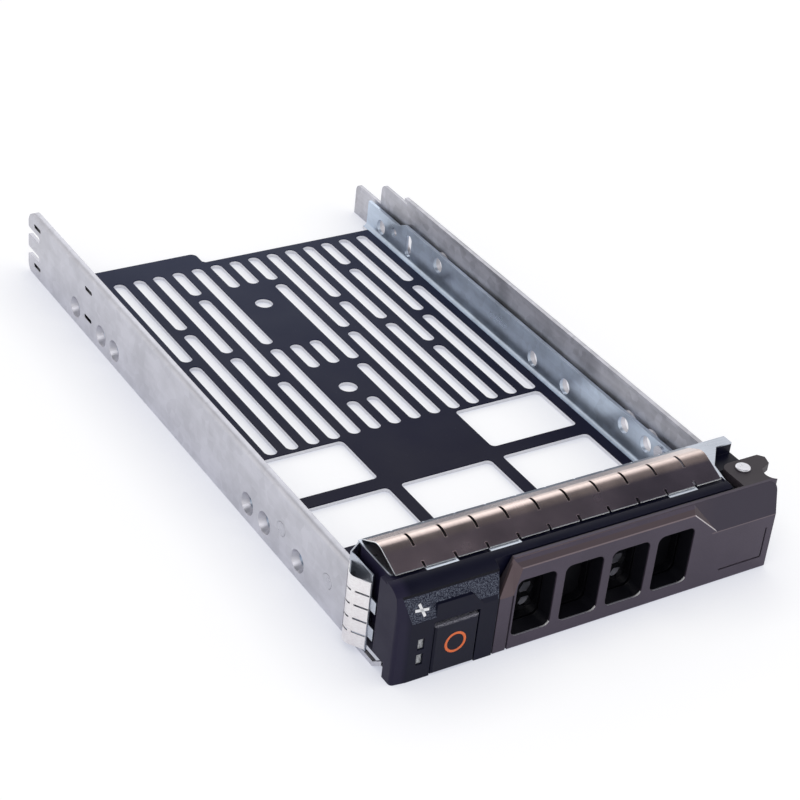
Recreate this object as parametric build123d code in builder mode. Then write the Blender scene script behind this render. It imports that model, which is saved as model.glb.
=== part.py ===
from build123d import *
import os
from math import cos, radians, sin, tan

os.makedirs("parts", exist_ok=True)

# Frame: X across the front, Y to the rear, Z up, millimetres. The bottom edges stand on Z = 0.

# Overall sizes
overall_width = 108.0
bezel_height = 25.4
front_y = -101.5
front_depth = 21.75
rail_length = 181.25
rail_height = 19.1

# Sheets and clearances
sheet = 1.0
film_t = 0.3
spring_sheet = 0.25
bracket_sheet = 0.4
rail_gap = 0.9
fit = 0.1
running = 0.05
seam = 0.3

half = overall_width / 2
rail_in = half - sheet
wall_out = rail_in - rail_gap
wall_in = wall_out - sheet
shoulder_y = front_y + front_depth
rail_rear_y = shoulder_y + rail_length

# Tray and film
tray_inset = 17.75
tab_length = 5.8
tab_width = 43.2
tab_chamfer = 0.8
tab_corner = 1.8
wall_inset = 14.5
wall_height = 11.3
wall_step = 1.9
wall_step_length = 20.95
wall_step_run = 3.7
foot_radius = 1.2
film_margin = 0.2
film_front = 19.75
tongue_margin = 2.1
tongue_length = 13.5

# Slots in the tray floor
column_pitch = 6.2
column_count = 16
column_centre_x = -1.19
slot_width = 3.6
module = 15.67
module_count = 6
web = 2.6
field_start = 67.3
floor_hole_d = 5.2
floor_hole_start = 88.0
floor_hole_pitch = 48.0

# Windows in the tray floor
window_width = 27.5
window_pitch_x = 31.1
window_centre_x = 1.7
front_window_start = 25.6
front_window_length = 17.8
rear_window_start = 47.7
rear_window_length = 18.6
window_radius = 1.5

# Holes through the tray walls and dimples of the outer rails
side_hole_height = 6.35
side_hole_pitch = 101.6
side_hole_start = 25.15
middle_hole_start = 34.9
low_hole_height = 3.0
low_hole_starts = (61.0, 76.6)
rear_hole_inset = 22.75
left_hole_height = 3.6
left_hole_starts = (21.55, 38.1, 46.7)
left_spare_start = 131.6
hole_r = 2.25
small_hole_r = 1.4
small_hole_inset = 30.05
small_hole_height = 4.8
dimple_r = 3.0
dimple_wall = 0.6
key_slot_inset = 38.35
key_slot_width = 3.1
key_slot_height = 7.0
key_slot_low = 2.3
key_slot_extra = 2.7

# Outer rails
flange = 2.1
bend_radius = 1.3
prong_depth = 7.8
prong_gap_centres = (6.5, 12.7)
prong_gap = 2.1
prong_corner_run = 3.6
prong_corner_drop = 3.6
prong_tip_radius = 0.7
prong_foot_radius = 2.4
slit_length = 4.6
slit_width = 1.2
slit_places = ((41.15, 5.6), (41.15, 14.4), (6.25, 3.4), (6.25, 15.9))
low_step_inset = 3.95
low_step_height = 9.9
middle_step_inset = 18.25
middle_step_height = 16.6
top_step_inset = 32.75
step_radius = 2.0
toe_length = 17.0
right_toe_length = 15.0
toe_height = 3.9
toe_strip = 1.3
toe_slope_run = 3.4
toe_clear = 0.7
rivet_height = 8.6
left_rivet_starts = (8.0, 30.0)
right_rivet_starts = (8.0, 19.4)
rivet_r = 1.2
rivet_head_r = 1.9
rivet_head_t = 0.5

# Bezel
slope_start = 16.2
slope_top_drop = 1.8
slope_tilt = 12.0
crown_depth = 5.75
crown_rise_y = 3.3
crown_rise_drop = 0.55
deck_start = 5.8
deck_drop = 0.6
side_depth = 8.7
side_recess = 2.0
corner_side = 0.5
corner_front = 3.8
corner_blend = 1.0
bezel_rear_gap = 0.7
recess_depth = 3.5
pocket_depth = 2.3
pocket_margin = 1.9
well_margin = 0.3
post_r = 3.2
post_low = 3.1
spring_room = 4.8
post_rib = 2.4
ear_zone_reach = 6.1
ear_zone_back = 4.2
ear_shelf_drop = 3.1

# Handle
handle_inset = 27.0
handle_top_inset = 31.0
handle_right_margin = 0.2
handle_t = 3.0
handle_bottom = 0.2
handle_top_drop = 0.5
handle_corner_r = 3.0
panel_inset = 30.7
panel_top_inset = 32.2
panel_right_inset = 26.6
panel_drop_inset = 18.5
panel_low = 15.8
panel_top_drop = 2.1
panel_taper = 45.0
vent_width = 10.9
vent_pitch = 13.3
vent_inset = 36.9
vent_low = 3.5
vent_high = 19.5
vent_radius = 1.8
vent_count = 4
collar_t = 0.9
collar_depth = 1.8
back_pocket_t = 1.3
groove_length = 13.1
groove_inset = 2.4
groove_low = 3.6
groove_high = 12.3
groove_width = 0.5
groove_depth = 0.4

# Pivot, its ears and the claw
pivot_inset = 5.5
pivot_depth = 8.9
ear_t = 2.2
ear_left = 4.5
ear_back = 3.35
ear_corner = 2.6
lower_ear_r = 4.2
lower_ear_z = 0.7
lower_ear_reach = 1.0
claw_reach = 8.5
claw_y = 1.8
claw_shoulder_x = 7.2
claw_front_x = 7.7
claw_front_y = -0.7
notch_y = -1.7
notch_x = 5.2
notch_deep_x = 3.7
notch_deep_y = -3.7
pin_r = 1.5
pin_head_r = 1.9
pin_head_t = 0.5
clip_r = 2.7
clip_t = 0.35
clip_gap = 2.0

# Latch and release button
hook_width = 2.0
hook_low = 6.0
hook_high = 9.0
hook_reach = 4.3
hook_nose = 1.3
button_width = 11.5
button_inset = 15.9
button_low = 0.3
button_high = 13.9
button_proud = 0.3
button_depth = 6.0
button_wall = 1.2
button_bevel = 0.4
button_travel = 1.5
button_gap = 0.25
button_well = 9.0
hood_gap = 1.1
stem_r = 1.5
stem_length = 11.2
arm_t = 1.5
arm_start = 4.0
ring_centre_z = 7.8
ring_r = 2.85
ring_width = 0.65
ring_t = 0.4
hood_left = 5.9
hood_top = 20.0
hood_right = 3.4
hood_toe = 7.6

# Light pipes
light_inset = 6.8
light_width = 1.6
light_height = 2.9
light_lows = (4.2, 8.5)
light_recess = 0.5
light_bevel = 1.0

# Vent grille
grille_depth = 8.0
grille_t = 1.0
grille_margin = 2.6
hex_pitch = 4.2
hex_web = 0.7
hex_rows = 4
hex_columns = 3

# Shield bracket
side_wall_drop = 2.2
bracket_side_depth = 10.1
bracket_tongue = 2.4
bracket_side_low = 1.5
cut_near_x = -0.4
cut_mid_x = -5.9
cut_far_x = -7.5
cut_near_y = 9.85
cut_mid_y = 3.6
cut_far_y = -2.7
plate_front = 2.0
plate_tongue = 1.9
plate_tongue_fingers = (1, 3, 9)
shield_vent_margin = 0.5

# Finger gaskets
finger_count = 11
finger_pitch = 8.45
finger_inset = 2.7
end_finger_cut = 0.8
gasket_rear = 0.25
gasket_run = 14.6
crest_share = 0.45
crest_height = 3.6
crest_radius = 4.0
finger_slit = 0.7
slit_span = (0.36, 0.65)
rear_notch = 0.6
front_slit = 1.5
side_finger_count = 5
side_finger_pitch = 3.75
side_gasket_low = 2.2
side_gasket_rear = 0.9
side_gasket_run = 9.2
side_crest_height = 3.3
side_crest_radius = 2.6
side_crest_share = 0.48
side_slit = 0.5
side_slit_span = (0.34, 0.58)

# Springs and screws
wire_sides = 8
torsion_wire_r = 0.3
torsion_r = 2.3
torsion_pitch = 1.1
torsion_turns = 4
coil_wire_r = 0.25
coil_r = 2.3
coil_turns = 5
screw_insets = (8.0, 34.0, 60.0, 92.0)
screw_back = 8.0
screw_r = 1.1
screw_head_r = 2.0
screw_length = 2.9
cross_width = 0.5
cross_length = 2.2
cross_depth = 0.4

# Places worked out from the sizes
film_half = wall_in - foot_radius - film_margin
tongue_half = wall_in - tongue_margin
wall_rear_y = rail_rear_y - wall_inset
film_top = sheet + film_t
tilt = tan(radians(slope_tilt))
pivot_y = front_y + pivot_depth
deck_z = bezel_height - deck_drop
plate_z = deck_z + bracket_sheet
shield_y = shoulder_y - seam - bracket_sheet
bezel_rear_y = shield_y - bezel_rear_gap
handle_left_x = -half + handle_inset
handle_right_x = half - handle_right_margin
pivot_x = half - pivot_inset
ear_zone_x = pivot_x - ear_zone_reach
button_centre_x = -half + button_inset
light_x = -half + light_inset
finger_left_x = -half + finger_inset
groove_right_x = half - groove_inset
groove_left_x = groove_right_x - groove_length
screw_xs = [-half + inset for inset in screw_insets]
handle_top = bezel_height - handle_top_drop
ear_shelf_z = bezel_height - ear_shelf_drop
post_high = ear_shelf_z - spring_room
slope_top = bezel_height - slope_top_drop
side_wall_top = plate_z - side_wall_drop
recess_y = front_y + recess_depth
side_x = -half + side_recess
block_right_x = handle_left_x - seam
vent_xs = [-half + vent_inset + n * vent_pitch for n in range(vent_count)]
vent_mid_z = (vent_low + vent_high) / 2
vent_height = vent_high - vent_low

# Each hole: distance behind the rails' front end, height, radius
right_holes = [
    (side_hole_start, film_top + side_hole_height, hole_r),
    (side_hole_start + side_hole_pitch, film_top + side_hole_height, hole_r),
    (middle_hole_start, film_top + side_hole_height, hole_r),
    (rail_length - small_hole_inset, film_top + small_hole_height, small_hole_r),
    (rail_length - rear_hole_inset, film_top + low_hole_height, hole_r),
]
right_holes += [(start, film_top + low_hole_height, hole_r) for start in low_hole_starts]
left_holes = [(start, film_top + left_hole_height, hole_r) for start in left_hole_starts]
left_holes += [
    (left_hole_starts[0] + side_hole_pitch, film_top + left_hole_height, hole_r),
    (left_hole_starts[2] + side_hole_pitch, film_top + left_hole_height, hole_r),
    (left_spare_start, film_top + left_hole_height, hole_r),
]


def side_plane(x):
    """Plane across X: its own x runs along Y and its own y along Z."""
    return Plane(origin=(x, 0, 0), x_dir=(0, 1, 0), z_dir=(1, 0, 0))


def front_plane(y):
    """Plane across Y, facing the front: its own x runs along X and its own y along Z."""
    return Plane.XZ.offset(-y)


def column_spans(index):
    """Front and rear end of each slot of one column, in modules from the front of the field."""
    if index in (column_count // 2 - 1, column_count // 2):
        return ((0, 1), (2, 3), (5, 6))
    if index % 2 == 0:
        return ((0, 3), (3, 6))
    if index % 4 == 3:
        return ((0, 4), (4, 6))
    return ((0, 2), (2, 5), (5, 6))


def cut_floor(top, depth):
    """Cut the slots, the holes and the windows down from the height top."""
    field_y = shoulder_y + field_start
    middle = (column_count - 1) / 2
    with BuildSketch(Plane.XY.offset(top)) as openings:
        for index in range(column_count):
            x = column_centre_x + (index - middle) * column_pitch
            for start, end in column_spans(index):
                low = field_y + start * module + (web / 2 if start > 0 else 0)
                high = field_y + end * module - (web / 2 if end < module_count else 0)
                with Locations((x, (low + high) / 2)):
                    SlotOverall(high - low, slot_width, rotation=90)
        first = shoulder_y + floor_hole_start
        with Locations((column_centre_x, first), (column_centre_x, first + floor_hole_pitch)):
            Circle(floor_hole_d / 2)
        front = shoulder_y + front_window_start + front_window_length / 2
        with Locations(*[(window_centre_x + n * window_pitch_x, front) for n in (-1, 0, 1)]):
            RectangleRounded(window_width, front_window_length, window_radius)
        rear = shoulder_y + rear_window_start + rear_window_length / 2
        with Locations(*[(window_centre_x + n * window_pitch_x, rear) for n in (-1, 1)]):
            RectangleRounded(window_width, rear_window_length, window_radius)
    extrude(openings.sketch, amount=-depth, mode=Mode.SUBTRACT)


def floor_face(height, half_width, start):
    """Outline of the floor, from the distance start behind the rails' front end to its rear tab."""
    low = shoulder_y + start
    high = rail_rear_y - tray_inset
    tab_x = tab_width - wall_in + foot_radius
    with BuildSketch(Plane.XY.offset(height)) as outline:
        with BuildLine():
            Polyline(
                (-half_width, low), (half_width, low), (half_width, high),
                (tab_x + tab_chamfer, high), (tab_x, high + tab_chamfer),
                (tab_x, high + tab_length), (-half_width, high + tab_length),
                close=True,
            )
        make_face()
        fillet(outline.vertices().sort_by(Axis.Y)[-2:].sort_by(Axis.X)[-1], tab_corner)
    return outline.sketch


def wall_face():
    """Section of the right wall with the bend that joins it to the floor."""
    foot_x = wall_in - foot_radius
    foot_z = sheet + foot_radius
    with BuildSketch(front_plane(wall_rear_y)) as section:
        with BuildLine():
            Line((foot_x, sheet), (foot_x, 0))
            CenterArc((foot_x, foot_z), foot_z, 270, 90)
            Polyline((wall_out, foot_z), (wall_out, wall_height), (wall_in, wall_height), (wall_in, foot_z))
            CenterArc((foot_x, foot_z), foot_radius, 270, 90)
        make_face()
    return section.sketch


def cut_side_holes(holes, low_x, high_x):
    """Cut round holes across X through what lies between low_x and high_x."""
    with BuildSketch(side_plane(low_x)) as rounds:
        for start, height, radius in holes:
            with Locations((shoulder_y + start, height)):
                Circle(radius)
    extrude(rounds.sketch, amount=high_x - low_x, mode=Mode.SUBTRACT)


def cut_key_slot(low_x, high_x, extra):
    """Cut the upright slot near the rear between low_x and high_x, longer to the rear by extra."""
    with BuildSketch(side_plane(low_x)) as slot:
        with Locations((rail_rear_y - key_slot_inset + extra / 2, key_slot_low + key_slot_height / 2)):
            SlotOverall(key_slot_height, key_slot_width + extra, rotation=90)
    extrude(slot.sketch, amount=high_x - low_x, mode=Mode.SUBTRACT)


# Tray: one folded sheet with a slotted floor, two low walls and a tongue under the bezel
with BuildPart() as tray:
    extrude(wall_face(), amount=wall_rear_y - shoulder_y)
    mirror(about=Plane.YZ)
    extrude(floor_face(0, wall_in - foot_radius, 0), amount=sheet)
    with BuildSketch():
        with Locations((0, shoulder_y - tongue_length / 2)):
            Rectangle(2 * tongue_half, tongue_length)
    extrude(amount=sheet)
    # The tongue's right front corner leaves room for the handle's lower ear
    corner_y = pivot_y + ear_zone_back + fit
    with BuildSketch():
        with Locations(((half + ear_zone_x - fit) / 2, (front_y + corner_y) / 2)):
            Rectangle(half - ear_zone_x + fit, corner_y - front_y)
    extrude(amount=sheet, mode=Mode.SUBTRACT)
    step_y = wall_rear_y - wall_step_length
    step_z = wall_height - wall_step
    with BuildSketch(side_plane(0)):
        with BuildLine():
            Polyline(
                (step_y, wall_height), (step_y + wall_step_run, step_z), (wall_rear_y + sheet, step_z),
                (wall_rear_y + sheet, wall_height + sheet), (step_y, wall_height + sheet), close=True,
            )
        make_face()
    extrude(amount=half, both=True, mode=Mode.SUBTRACT)
    cut_floor(sheet, sheet)
    cut_side_holes(right_holes, wall_in - sheet, wall_out + fit)
    cut_side_holes(left_holes, -wall_out - fit, -wall_in + sheet)
    cut_key_slot(wall_in - sheet, wall_out + fit, 0)
    rivet_holes = [(start, rivet_height, rivet_r + fit) for start in right_rivet_starts]
    cut_side_holes(rivet_holes, wall_in - sheet, wall_out + fit)
    rivet_holes = [(start, rivet_height, rivet_r + fit) for start in left_rivet_starts]
    cut_side_holes(rivet_holes, -wall_out - fit, -wall_in + sheet)
    for x in screw_xs:
        with Locations((x, shoulder_y - screw_back, 0)):
            Cone(screw_head_r + fit, screw_r + fit, sheet, align=(Align.CENTER, Align.CENTER, Align.MIN),
                 mode=Mode.SUBTRACT)
tray.part.label = "tray"
export_step(tray.part, "parts/tray.step")

# Insulating film: lies on the tray's floor and has the same openings
with BuildPart() as insulator_film:
    extrude(floor_face(sheet, film_half, film_front), amount=film_t)
    cut_floor(film_top, film_t)
insulator_film.part.label = "insulator_film"
export_step(insulator_film.part, "parts/insulator_film.step")


def rail_section():
    """Section of the left rail: an upright web with a narrow flange turned inwards at its top."""
    bend_z = rail_height - bend_radius
    inner = bend_radius - sheet
    with BuildSketch(front_plane(rail_rear_y)) as section:
        with BuildLine():
            Polyline((-rail_in, bend_z), (-rail_in, 0), (-half, 0), (-half, bend_z))
            CenterArc((-half + bend_radius, bend_z), bend_radius, 90, 90)
            Polyline(
                (-half + bend_radius, rail_height), (-half + flange, rail_height),
                (-half + flange, rail_height - sheet), (-half + bend_radius, rail_height - sheet),
            )
            CenterArc((-half + bend_radius, bend_z), inner, 90, 90)
        make_face()
    return section.sketch


def toe_face(length):
    """Low toe of a rail, which runs forward under the bezel's side and turns up at its tip."""
    toe_y = shoulder_y - length
    with BuildSketch(side_plane(-half)) as outline:
        with BuildLine():
            Polyline(
                (shoulder_y, 0), (toe_y + toe_slope_run, 0), (toe_y, toe_height - toe_strip),
                (toe_y, toe_height), (toe_y + toe_slope_run, toe_strip), (shoulder_y, toe_strip), close=True,
            )
        make_face()
    return outline.sketch


def dimples(holes, side):
    """Press each hole of a rail inwards as a cone that reaches the tray's wall."""
    turn = (0, -90 * side, 0)
    outer = half * side
    depth = sheet + rail_gap
    seat = (Align.CENTER, Align.CENTER, Align.MIN)
    for start, height, radius in holes:
        y = shoulder_y + start
        cone_r = dimple_r * radius / hole_r
        with Locations(Location((outer - sheet * side, y, height), turn)):
            Cone(cone_r + dimple_wall, radius + dimple_wall, rail_gap, align=seat)
        with Locations(Location((outer, y, height), turn)):
            Cone(cone_r, radius, depth, align=seat, mode=Mode.SUBTRACT)


def cut_rivet_seats(starts, side):
    """Countersink a rail for the flush heads of its rivets."""
    for start in starts:
        with Locations(Location((half * side, shoulder_y + start, rivet_height), (0, -90 * side, 0))):
            Cone(rivet_head_r + fit, rivet_r + fit, sheet,
                 align=(Align.CENTER, Align.CENTER, Align.MIN), mode=Mode.SUBTRACT)


# Left rail: dimpled holes, slits and three prongs at its rear end
with BuildPart() as left_rail:
    extrude(rail_section(), amount=rail_length)
    extrude(toe_face(toe_length), amount=sheet)
    with BuildSketch(side_plane(-half)):
        with Locations(*[(rail_rear_y, centre) for centre in prong_gap_centres]):
            SlotOverall(2 * prong_depth, prong_gap)
        with BuildLine():
            bow = 1 - cos(radians(45))
            round_y = rail_rear_y - prong_corner_run
            round_z = rail_height - prong_corner_drop
            ThreePointArc(
                (round_y, rail_height),
                (rail_rear_y - prong_corner_run * bow, rail_height - prong_corner_drop * bow),
                (rail_rear_y, round_z),
            )
            Polyline(
                (rail_rear_y, round_z), (rail_rear_y + sheet, round_z),
                (rail_rear_y + sheet, rail_height + sheet), (round_y, rail_height + sheet),
                (round_y, rail_height),
            )
        make_face()
        with Locations(*[(rail_rear_y - inset, height) for inset, height in slit_places]):
            SlotOverall(slit_length, slit_width)
    extrude(amount=flange + sheet, mode=Mode.SUBTRACT)
    tips = left_rail.edges().filter_by(Axis.X).group_by(Axis.Y)[-1].sort_by(Axis.Z)
    fillet(tips[1:-1], prong_tip_radius)
    foot = left_rail.edges().filter_by(Axis.X).group_by(Axis.Y)[-1].sort_by(Axis.Z)[0]
    fillet(foot, prong_foot_radius)
    dimples(left_holes, -1)
    cut_rivet_seats(left_rivet_starts, -1)
left_rail.part.label = "left_rail"
export_step(left_rail.part, "parts/left_rail.step")

# Right rail: its rear end falls in three steps
with BuildPart() as right_rail:
    extrude(rail_section(), amount=rail_length)
    extrude(toe_face(right_toe_length), amount=sheet)
    mirror(about=Plane.YZ, mode=Mode.REPLACE)
    with BuildSketch(side_plane(half)):
        with BuildLine():
            Polyline(
                (shoulder_y - toe_length, 0), (rail_rear_y - low_step_inset, 0),
                (rail_rear_y - low_step_inset, low_step_height),
                (rail_rear_y - middle_step_inset, low_step_height),
                (rail_rear_y - middle_step_inset, middle_step_height),
                (rail_rear_y - top_step_inset, middle_step_height),
                (rail_rear_y - top_step_inset, rail_height + fit),
                (shoulder_y - toe_length, rail_height + fit), close=True,
            )
        make_face()
        corners = [
            (rail_rear_y - low_step_inset, low_step_height),
            (rail_rear_y - middle_step_inset, middle_step_height),
        ]
        fillet([v for v in vertices() if any(abs(v.X - y) + abs(v.Y - z) < fit for y, z in corners)], step_radius)
    extrude(amount=-flange - sheet, mode=Mode.INTERSECT)
    dimples(right_holes, 1)
    cut_key_slot(rail_in - fit, half + fit, key_slot_extra)
    cut_rivet_seats(right_rivet_starts, 1)
right_rail.part.label = "right_rail"
export_step(right_rail.part, "parts/right_rail.step")

# Rivets: flush outside, a spacer in the gap and a flat head inside the tray's wall
with BuildPart() as rail_rivets:
    for side, starts in ((-1, left_rivet_starts), (1, right_rivet_starts)):
        seat = (Align.CENTER, Align.CENTER, Align.MIN)
        for start in starts:
            y = shoulder_y + start
            with Locations(Location((half * side, y, rivet_height), (0, -90 * side, 0))):
                Cone(rivet_head_r, rivet_r, sheet, align=seat)
                Cylinder(rivet_r, 2 * sheet + rail_gap + rivet_head_t, align=seat)
            with Locations(Location((rail_in * side, y, rivet_height), (0, -90 * side, 0))):
                Cylinder(rivet_head_r, rail_gap, align=seat)
            with Locations(Location((wall_in * side, y, rivet_height), (0, -90 * side, 0))):
                Cylinder(rivet_head_r, rivet_head_t, align=seat)
rail_rivets.part.label = "rail_rivets"
export_step(rail_rivets.part, "parts/rail_rivets.step")


def crown_face(front, x):
    """Bezel's side profile at x, from the depth front to its rear wall."""
    lean = (slope_top - slope_start) * tilt
    floor_y = shoulder_y - tongue_length - fit
    with BuildSketch(side_plane(x)) as profile:
        with BuildLine():
            Line((front_y, slope_start), (front_y + lean, slope_top))
            ThreePointArc(
                (front_y + lean, slope_top), (front_y + crown_rise_y, bezel_height - crown_rise_drop),
                (front_y + crown_depth, bezel_height),
            )
            Polyline(
                (front_y + crown_depth, bezel_height), (front_y + deck_start, bezel_height),
                (front_y + deck_start, deck_z), (bezel_rear_y, deck_z), (bezel_rear_y, sheet),
                (floor_y, sheet), (floor_y, 0), (front_y, 0), (front_y, slope_start),
            )
        make_face()
        if front > front_y:
            with Locations(((front_y + front) / 2, bezel_height / 2)):
                Rectangle(front - front_y, bezel_height + fit, mode=Mode.SUBTRACT)
    return profile.sketch


def ear_zone_face(height):
    """Plan of the room that the handle's ear swings in; the shield bracket has the same cut."""
    far_x = pivot_x + cut_far_x
    with BuildSketch(Plane.XY.offset(height)) as zone:
        with BuildLine():
            Polyline(
                (pivot_x + cut_near_x, pivot_y + cut_near_y), (pivot_x + cut_mid_x, pivot_y + cut_mid_y),
                (far_x, pivot_y + cut_far_y), (far_x, front_y), (half + sheet, front_y),
                (half + sheet, pivot_y + cut_near_y), close=True,
            )
        make_face()
    return zone.sketch


def vent_face(y, margin):
    """The four vents on the plane at y, grown by a margin."""
    with BuildSketch(front_plane(y)) as vents:
        with Locations(*[(x, vent_mid_z) for x in vent_xs]):
            RectangleRounded(vent_width + 2 * margin, vent_height + 2 * margin, vent_radius + margin)
    return vents.sketch


seat = (Align.CENTER, Align.CENTER, Align.MIN)

# Bezel: moulded housing with the button's well, the vent wells and the pivot post
with BuildPart() as bezel:
    extrude(crown_face(front_y, -half), amount=half + block_right_x)
    with BuildSketch():
        with BuildLine():
            Polyline(
                (-half, front_y + side_depth), (-half, front_y + corner_side),
                (-half + corner_front, front_y), (block_right_x, front_y), (block_right_x, bezel_rear_y),
                (side_x, bezel_rear_y), (side_x, front_y + side_depth), close=True,
            )
        make_face()
        reach = corner_front + fit
        bevel = [v for v in vertices() if v.X < reach - half and v.Y < front_y + corner_side + fit]
        fillet(bevel, corner_blend)
    extrude(amount=bezel_height, mode=Mode.INTERSECT)
    # The hood over the button stands at the front plane while the slope leans back round it
    with BuildSketch(front_plane(front_y)):
        hood_low = slope_start - sheet
        with BuildLine():
            Polyline(
                (button_centre_x - hood_left, hood_low), (button_centre_x - hood_left, hood_top),
                (button_centre_x + hood_right, hood_top), (button_centre_x + hood_toe, hood_low), close=True,
            )
        make_face()
    extrude(amount=-sheet, taper=-slope_tilt)
    extrude(crown_face(recess_y, block_right_x - sheet), amount=sheet + rail_in - block_right_x)
    # Room for the pivot, and above it for the ear
    with BuildSketch():
        with Locations(((half + ear_zone_x) / 2, (front_y + pivot_y + ear_zone_back) / 2)):
            Rectangle(half - ear_zone_x, pivot_y + ear_zone_back - front_y)
    extrude(amount=bezel_height, mode=Mode.SUBTRACT)
    extrude(ear_zone_face(ear_shelf_z), amount=bezel_height, mode=Mode.SUBTRACT)
    with BuildSketch(Plane.XY.offset(post_low)):
        with Locations((pivot_x, pivot_y)):
            Circle(post_r)
        with Locations((pivot_x, pivot_y + ear_zone_back / 2 + sheet / 2)):
            Rectangle(post_rib, ear_zone_back + sheet)
    extrude(amount=post_high - post_low)
    with Locations((pivot_x, pivot_y, post_low)):
        Cylinder(pin_r + running, post_high - post_low, align=seat, mode=Mode.SUBTRACT)
    # Vent wells, a pocket for the handle's collars, and a slot for the grille
    extrude(vent_face(recess_y, well_margin), amount=-(bezel_rear_y - recess_y), mode=Mode.SUBTRACT)
    pocket_left = vent_xs[0] - vent_width / 2 - pocket_margin
    pocket_right = vent_xs[-1] + vent_width / 2 + pocket_margin
    with BuildSketch(front_plane(recess_y)):
        with Locations(((pocket_left + pocket_right) / 2, vent_mid_z)):
            RectangleRounded(pocket_right - pocket_left, vent_height + 2 * collar_t + sheet, vent_radius)
    extrude(amount=-pocket_depth, mode=Mode.SUBTRACT)
    grille_left = vent_xs[0] - vent_width / 2 - grille_margin
    grille_right = vent_xs[-1] + vent_width / 2 + grille_margin
    grille_low = vent_low - sheet
    with BuildSketch(Plane.XY.offset(grille_low - fit)):
        with Locations(((grille_left + grille_right) / 2, front_y + grille_depth + grille_t / 2)):
            Rectangle(grille_right - grille_left + 2 * fit, grille_t + 2 * fit)
    extrude(amount=bezel_height, mode=Mode.SUBTRACT)
    # Button's well, the hole for its stem and the latch channel to the handle's hook
    with BuildSketch(front_plane(front_y)):
        with Locations((button_centre_x, (button_high + hood_gap - sheet) / 2)):
            Rectangle(button_width + 2 * button_gap, button_high + hood_gap + sheet)
    extrude(amount=-button_well, mode=Mode.SUBTRACT)
    with BuildSketch(front_plane(front_y)):
        with Locations((button_centre_x, ring_centre_z)):
            Circle(stem_r + fit)
    extrude(amount=front_y - bezel_rear_y, mode=Mode.SUBTRACT)
    hook_mid = (hook_low + hook_high) / 2
    channel_right = handle_left_x + hook_nose + hook_width + 2 * seam
    with BuildSketch(front_plane(recess_y)):
        with Locations(((button_centre_x + channel_right) / 2, hook_mid)):
            Rectangle(channel_right - button_centre_x, hook_high - hook_low + 2 * seam)
    extrude(amount=-(front_y + button_well - recess_y), mode=Mode.SUBTRACT)
    # Channels for the light pipes, notches for the rails' toes and holes for the screws
    with BuildSketch(front_plane(front_y)):
        for low in light_lows:
            with Locations((light_x, low + light_height / 2)):
                Rectangle(light_width + fit, light_height + fit)
    extrude(amount=front_y - bezel_rear_y, mode=Mode.SUBTRACT)
    notch_front_y = shoulder_y - toe_length - toe_clear
    for low_x, high_x in ((-half, side_x), (rail_in - fit, half)):
        with BuildSketch():
            with Locations(((low_x + high_x) / 2, (notch_front_y + bezel_rear_y) / 2)):
                Rectangle(high_x - low_x, bezel_rear_y - notch_front_y)
        extrude(amount=toe_height + fit, mode=Mode.SUBTRACT)
    for x in screw_xs:
        with Locations((x, shoulder_y - screw_back, 0)):
            Cylinder(screw_r + running, screw_length + fit, align=seat, mode=Mode.SUBTRACT)
bezel.part.label = "bezel"
export_step(bezel.part, "parts/bezel.step")

# Vent grille: honeycomb behind the first and third vents
with BuildPart() as vent_grille:
    with BuildSketch(front_plane(front_y + grille_depth)):
        grille_mid = (grille_left + grille_right) / 2
        with Locations((grille_mid, (grille_low + deck_z) / 2)):
            Rectangle(grille_right - grille_left, deck_z - grille_low)
    extrude(amount=-grille_t)
    with BuildSketch(front_plane(front_y + grille_depth)):
        column = hex_pitch * cos(radians(30))
        for x in (vent_xs[0], vent_xs[2]):
            for n in range(hex_columns):
                lift = hex_pitch / 2 if n % 2 else 0
                for row in range(hex_rows):
                    z = vent_low + hex_pitch / 2 + row * hex_pitch + lift - hex_web
                    with Locations((x + (n - (hex_columns - 1) / 2) * column, z)):
                        RegularPolygon((hex_pitch - hex_web) / 2, 6, major_radius=False)
    extrude(amount=-grille_t, mode=Mode.SUBTRACT)
vent_grille.part.label = "vent_grille"
export_step(vent_grille.part, "parts/vent_grille.step")

# Light pipes: clear bars from the bezel's face to its rear, each with a slanted rear end
for name, low in zip(("lower_light_pipe", "upper_light_pipe"), light_lows):
    with BuildPart() as light_pipe:
        with BuildSketch(front_plane(front_y + light_recess)):
            with Locations((light_x, low + light_height / 2)):
                Rectangle(light_width, light_height)
        extrude(amount=-(bezel_rear_y - front_y - light_recess))
        rear_top = light_pipe.edges().filter_by(Axis.X).group_by(Axis.Y)[-1].sort_by(Axis.Z)[-1]
        chamfer(rear_top, light_bevel)
    light_pipe.part.label = name
    export_step(light_pipe.part, f"parts/{name}.step")


def handle_outline(y):
    """Front view of the handle: its left end slants above the slope's start, one corner is round."""
    with BuildSketch(front_plane(y)) as outline:
        with BuildLine():
            Polyline(
                (handle_left_x, handle_bottom), (handle_right_x, handle_bottom), (handle_right_x, handle_top),
                (-half + handle_top_inset, handle_top), (handle_left_x, slope_start), close=True,
            )
        make_face()
        corner = outline.vertices().group_by(Axis.X)[-1].sort_by(Axis.Y)[-1]
        fillet(corner, handle_corner_r)
    return outline.sketch


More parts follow.
